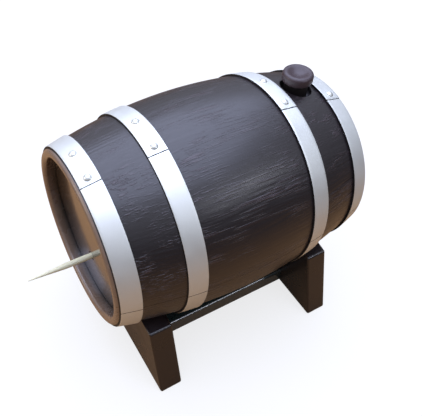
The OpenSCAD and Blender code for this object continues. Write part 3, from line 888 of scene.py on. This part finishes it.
class HOLDER_OT_stage(Operator):
    """Pale table, soft lamps and the camera"""
    bl_idname = "holder.stage"
    bl_label = "Stage"

    def execute(self, context):
        scene = context.scene
        scene.view_settings.view_transform = "Standard"
        self.floor()
        self.world(scene)
        for name, (toward, *settings) in LAMPS.items():
            self.lamp(name, Vector(toward), *settings)
        self.camera(scene)
        return {"FINISHED"}

    def floor(self):
        """Pale warm table that shows white, with the holder's soft shadow on it."""
        bm = bmesh.new()
        bmesh.ops.create_grid(bm, x_segments=1, y_segments=1, size=FLOOR_HALF)
        bmesh.ops.translate(bm, verts=bm.verts, vec=(0, 0, -FLOOR_GAP))
        floor = new_object("floor", new_mesh("floor", bm))
        made, tree, sockets = material("pale_table", colours().floor, {"Roughness": 0.7})
        floor.data.materials.append(made)
        white = self.white_share(tree, FLOOR_WHITE)
        seen = node(tree, "ShaderNodeLightPath", out="Is Camera Ray")
        place = node(tree, "ShaderNodeTexCoord", out="Object")
        away = node(tree, "ShaderNodeVectorMath", {0: place}, out="Value", operation="LENGTH")
        far = node(tree, "ShaderNodeMapRange", {
            "Value": away, "From Min": TABLE_NEAR, "From Max": TABLE_FAR},
            interpolation_type="SMOOTHSTEP")
        # The table darkens away from the holder: painted shade outside a pool of light
        table = node(tree, "ShaderNodeMix", {
            "Factor": far, "A": shade(colours().floor, 1),
            "B": shade(colours().floor, TABLE_FALL)}, data_type="RGBA")
        node(tree, "ShaderNodeMix", {"Factor": seen, "A": table, "B": shade(PALE, 1)},
             feeds=[sockets["Base Color"]], data_type="RGBA")
        plain = node(tree, "ShaderNodeEmission", {"Color": shade(PLAIN_WHITE, 1), "Strength": 1.0})
        shader = sockets["Base Color"].node
        output = tree.nodes["Material Output"]
        node(tree, "ShaderNodeMixShader", {0: white, 1: shader.outputs["BSDF"], 2: plain},
             feeds=[output.inputs["Surface"]])

    def white_share(self, tree, direct):
        """Share of plain white: direct for the camera's rays, slight in reflections."""
        seen = node(tree, "ShaderNodeLightPath", out="Is Camera Ray")
        path = seen.node
        mirrored = node(tree, "ShaderNodeMath", {
            0: path.outputs["Is Glossy Ray"], 1: path.outputs["Is Transmission Ray"]},
            operation="MAXIMUM")
        slight = node(tree, "ShaderNodeMath", {0: mirrored, 1: MIRRORED_WHITE},
                      operation="MULTIPLY")
        return node(tree, "ShaderNodeMath", {0: seen, 1: direct, 2: slight},
                    operation="MULTIPLY_ADD")

    def world(self, scene):
        """Soft sky for the light, brightest overhead, and plain white for the camera."""
        world = bpy.data.worlds.new("soft_room")
        scene.world = world
        world.use_nodes = True
        tree = world.node_tree
        aim = node(tree, "ShaderNodeTexCoord", out="Generated")
        toward = node(tree, "ShaderNodeVectorMath", {0: aim, 1: SKY_TOP}, out="Value",
                      operation="DOT_PRODUCT")
        rise = node(tree, "ShaderNodeMapRange", {
            "Value": toward, "From Min": SKY_FROM, "From Max": SKY_TO})
        level = node(tree, "ShaderNodeMath", {0: rise, 1: SKY_CURVE}, operation="POWER")
        back = tree.nodes["Background"]
        sky = node(tree, "ShaderNodeMix", {
            "Factor": level, "A": shade(linear(SKY_LOW), 1), "B": shade(linear(SKY_HIGH), 1)},
            data_type="RGBA")
        node(tree, "ShaderNodeMix", {
            "Factor": self.white_share(tree, SKY_WHITE), "A": sky, "B": shade(PLAIN_WHITE, 1)},
            feeds=[back.inputs["Color"]], data_type="RGBA")
        back.inputs["Strength"].default_value = 1.0

    def lamp(self, name, toward, distance, widths, power, hex_code):
        """Soft lamp that faces the barrel; its second width lies along its tilt."""
        lamp = bpy.data.lights.new(name, "AREA")
        lamp.shape = "RECTANGLE"
        lamp.size, lamp.size_y = widths
        lamp.energy = power
        lamp.color = linear(hex_code)
        made = new_object(name, lamp)
        made.location = AXIS + toward.normalized() * distance
        made.rotation_euler = toward.to_track_quat("Z", "Y").to_euler()

    def camera(self, scene):
        """Camera at the photograph's place, with its slight roll."""
        back = Vector((math.sin(CAMERA_AZIMUTH) * math.cos(CAMERA_ELEVATION),
                       -math.cos(CAMERA_AZIMUTH) * math.cos(CAMERA_ELEVATION),
                       math.sin(CAMERA_ELEVATION)))
        right = Vector((math.cos(CAMERA_AZIMUTH), math.sin(CAMERA_AZIMUTH), 0))
        turned = Matrix((right, back.cross(right), back)).transposed()
        turned = turned @ Matrix.Rotation(CAMERA_ROLL, 3, "Z")
        data = bpy.data.cameras.new("camera")
        data.lens = CAMERA_LENS
        data.sensor_width = 36
        data.clip_start = 0.01
        camera = new_object("camera", data)
        camera.matrix_world = Matrix.Translation(AXIS + CAMERA_PLACE) @ turned.to_4x4()
        scene.camera = camera


class HOLDER_PT_panel(Panel):
    """Lists the holder's pieces, sizes and colours"""
    bl_idname = "HOLDER_PT_panel"
    bl_label = "Toothpick Holder"
    bl_space_type = "VIEW_3D"
    bl_region_type = "UI"
    bl_category = "Toothpick Holder"

    def draw(self, context):
        for operator in OPERATORS:
            self.layout.operator(operator.bl_idname)
        for group in (context.scene.holder_sizes, context.scene.holder_colours):
            for key in group.bl_rna.properties.keys():
                if key not in ("rna_type", "name"):
                    self.layout.prop(group, key)


OPERATORS = (HOLDER_OT_stage, HOLDER_OT_staves, HOLDER_OT_hoops, HOLDER_OT_rivets,
             HOLDER_OT_knob, HOLDER_OT_heads, HOLDER_OT_toothpick, HOLDER_OT_stand,
             HOLDER_OT_works)
CLASSES = (HolderSizes, HolderColours, *OPERATORS, HOLDER_PT_panel)


def register():
    for cls in CLASSES:
        bpy.utils.register_class(cls)
    bpy.types.Scene.holder_sizes = PointerProperty(type=HolderSizes)
    bpy.types.Scene.holder_colours = PointerProperty(type=HolderColours)


def unregister():
    del bpy.types.Scene.holder_colours
    del bpy.types.Scene.holder_sizes
    for cls in reversed(CLASSES):
        bpy.utils.unregister_class(cls)


def main():
    register()
    for operator in OPERATORS:
        area, name = operator.bl_idname.split(".")
        getattr(getattr(bpy.ops, area), name)()


if __name__ == "__main__":
    main()
